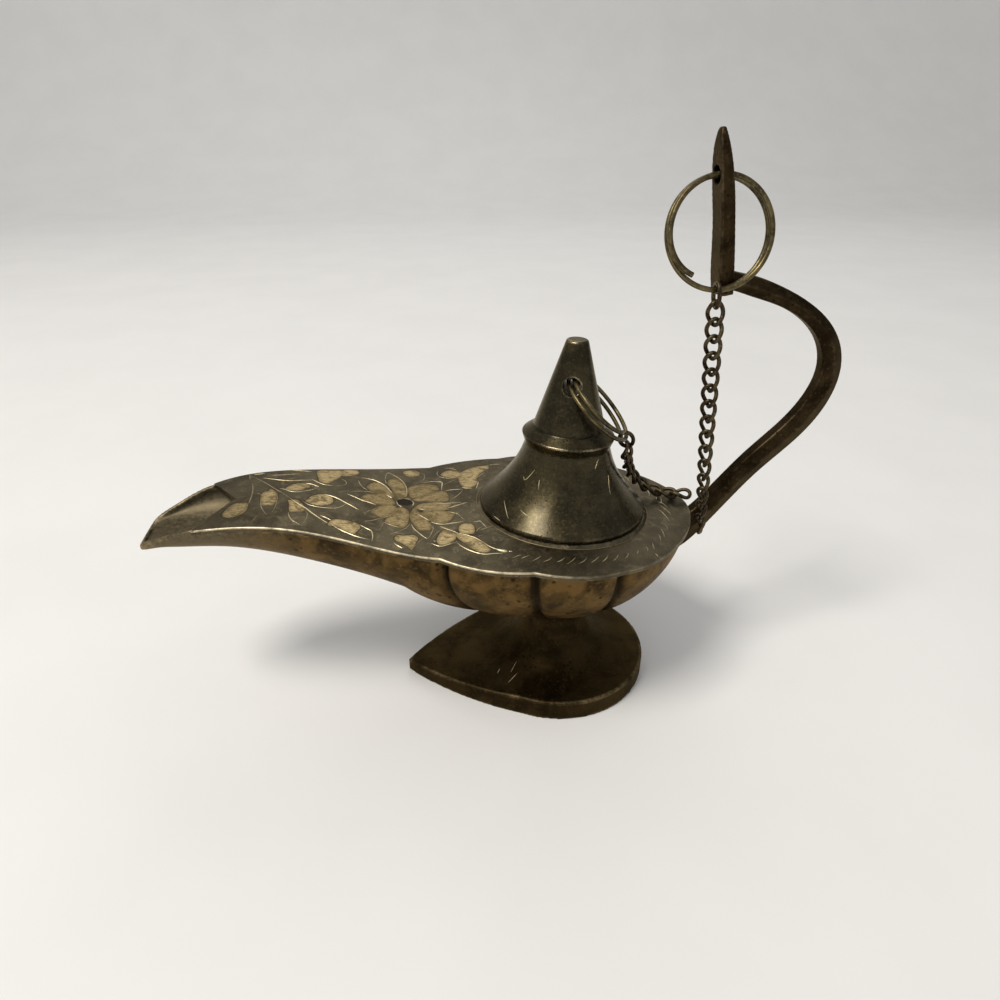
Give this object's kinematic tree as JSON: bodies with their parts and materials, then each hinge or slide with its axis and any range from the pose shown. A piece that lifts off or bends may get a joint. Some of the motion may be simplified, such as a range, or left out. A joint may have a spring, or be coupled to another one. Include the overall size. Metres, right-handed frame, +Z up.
{
  "type": "genie oil lamp",
  "caption": "Small oil lamp with a lobed bowl and long spout on a teardrop foot, a bell lid that lifts off, a curled handle, split rings and a safety chain",
  "frame": {"origin": "on the table under the lid's axis, at the centre of the foot's round part", "axes": "+X points to the handle, -X to the spout, +Y away from the pictured side, +Z up"},
  "size_m": [0.1493, 0.0558, 0.1191],
  "materials": {
    "bowl_brass": "worn bronze patina",
    "deck_brass": "dark patina with bright engraving",
    "foot_brass": "dark patina, worn at the rim",
    "handle_brass": "dark patina",
    "lid_brass": "dark glossy patina",
    "ring_brass": "antique brass wire",
    "chain_brass": "tarnished brass wire",
    "fastener_brass": "plain turned brass",
    "washer_leather": "oiled leather"
  },
  "bodies": {
    "lamp": {"bowl": "bowl_brass", "deck": "deck_brass", "foot": "foot_brass", "foot_bolt": "fastener_brass", "foot_washer": "washer_leather", "foot_nut": "fastener_brass", "handle": "handle_brass", "handle_screw": "fastener_brass"},
    "lid": {"lid_dome": "lid_brass", "finial": "lid_brass", "finial_nut": "fastener_brass"},
    "lid_ring": {"lid_ring": "ring_brass"},
    "drop_chain": {"ring_link_lid": "chain_brass", "chain_link_16": "chain_brass", "chain_link_17": "chain_brass", "chain_link_18": "chain_brass", "chain_link_19": "chain_brass"},
    "bend_link": {"chain_link_20": "chain_brass"},
    "deck_chain": {"chain_link_21": "chain_brass", "chain_link_22": "chain_brass", "chain_link_23": "chain_brass"},
    "handle_ring": {"handle_ring": "ring_brass"},
    "chain_top": {"ring_link_handle": "chain_brass", "chain_link_01": "chain_brass", "chain_link_02": "chain_brass", "chain_link_03": "chain_brass", "chain_link_04": "chain_brass", "chain_link_05": "chain_brass", "chain_link_06": "chain_brass", "chain_link_07": "chain_brass"},
    "chain_low": {"chain_link_08": "chain_brass", "chain_link_09": "chain_brass", "chain_link_10": "chain_brass", "chain_link_11": "chain_brass", "chain_link_12": "chain_brass", "chain_link_13": "chain_brass", "chain_link_14": "chain_brass", "chain_link_15": "chain_brass"}
  },
  "joints": [
    {"name": "lid_lift", "type": "slide", "parent": "lamp", "child": "lid", "axis": [0.0436, 0, 0.999], "range_m": [0, 0.03]},
    {"name": "lid_ring_swing", "type": "hinge", "parent": "lid", "child": "lid_ring", "pos_m": [0.00124, 0, 0.07282], "axis": [-0.3087, -0.9511, 0.0135], "range_deg": [0, 20]},
    {"name": "drop_chain_hang", "type": "hinge", "parent": "lid_ring", "child": "drop_chain", "pos_m": [0.01226, -0.00374, 0.06144], "axis": [-0.3087, -0.9511, 0.0135], "range_deg": [-30, 0]},
    {"name": "bend_link_hang", "type": "hinge", "parent": "drop_chain", "child": "bend_link", "pos_m": [0.01789, 0.00274, 0.04775], "axis": [0, 1, 0], "range_deg": [0, 20]},
    {"name": "deck_chain_hang", "type": "hinge", "parent": "bend_link", "child": "deck_chain", "pos_m": [0.02043, 0.00297, 0.04555], "axis": [0, 1, 0], "range_deg": [0, 32]},
    {"name": "handle_ring_swing", "type": "hinge", "parent": "lamp", "child": "handle_ring", "pos_m": [0.0272, 0, 0.1112], "axis": [-1, 0, 0], "range_deg": [0, 45]},
    {"name": "chain_top_hang", "type": "hinge", "parent": "handle_ring", "child": "chain_top", "pos_m": [0.0272, -0.00459, 0.09132], "axis": [-1, 0, 0], "range_deg": [-36, 0]},
    {"name": "chain_low_hang", "type": "hinge", "parent": "chain_top", "child": "chain_low", "pos_m": [0.02929, -0.00479, 0.06486], "axis": [-1, 0, 0], "range_deg": [-9, 0]}
  ],
  "couplings": [
    {"joint": "drop_chain_hang", "follows": "lid_ring_swing", "ratio": -1.5},
    {"joint": "bend_link_hang", "follows": "lid_lift", "rad_per_m": 11.636},
    {"joint": "deck_chain_hang", "follows": "lid_lift", "rad_per_m": 18.617},
    {"joint": "chain_top_hang", "follows": "handle_ring_swing", "ratio": -0.8},
    {"joint": "chain_low_hang", "follows": "handle_ring_swing", "ratio": -0.2}
  ]
}
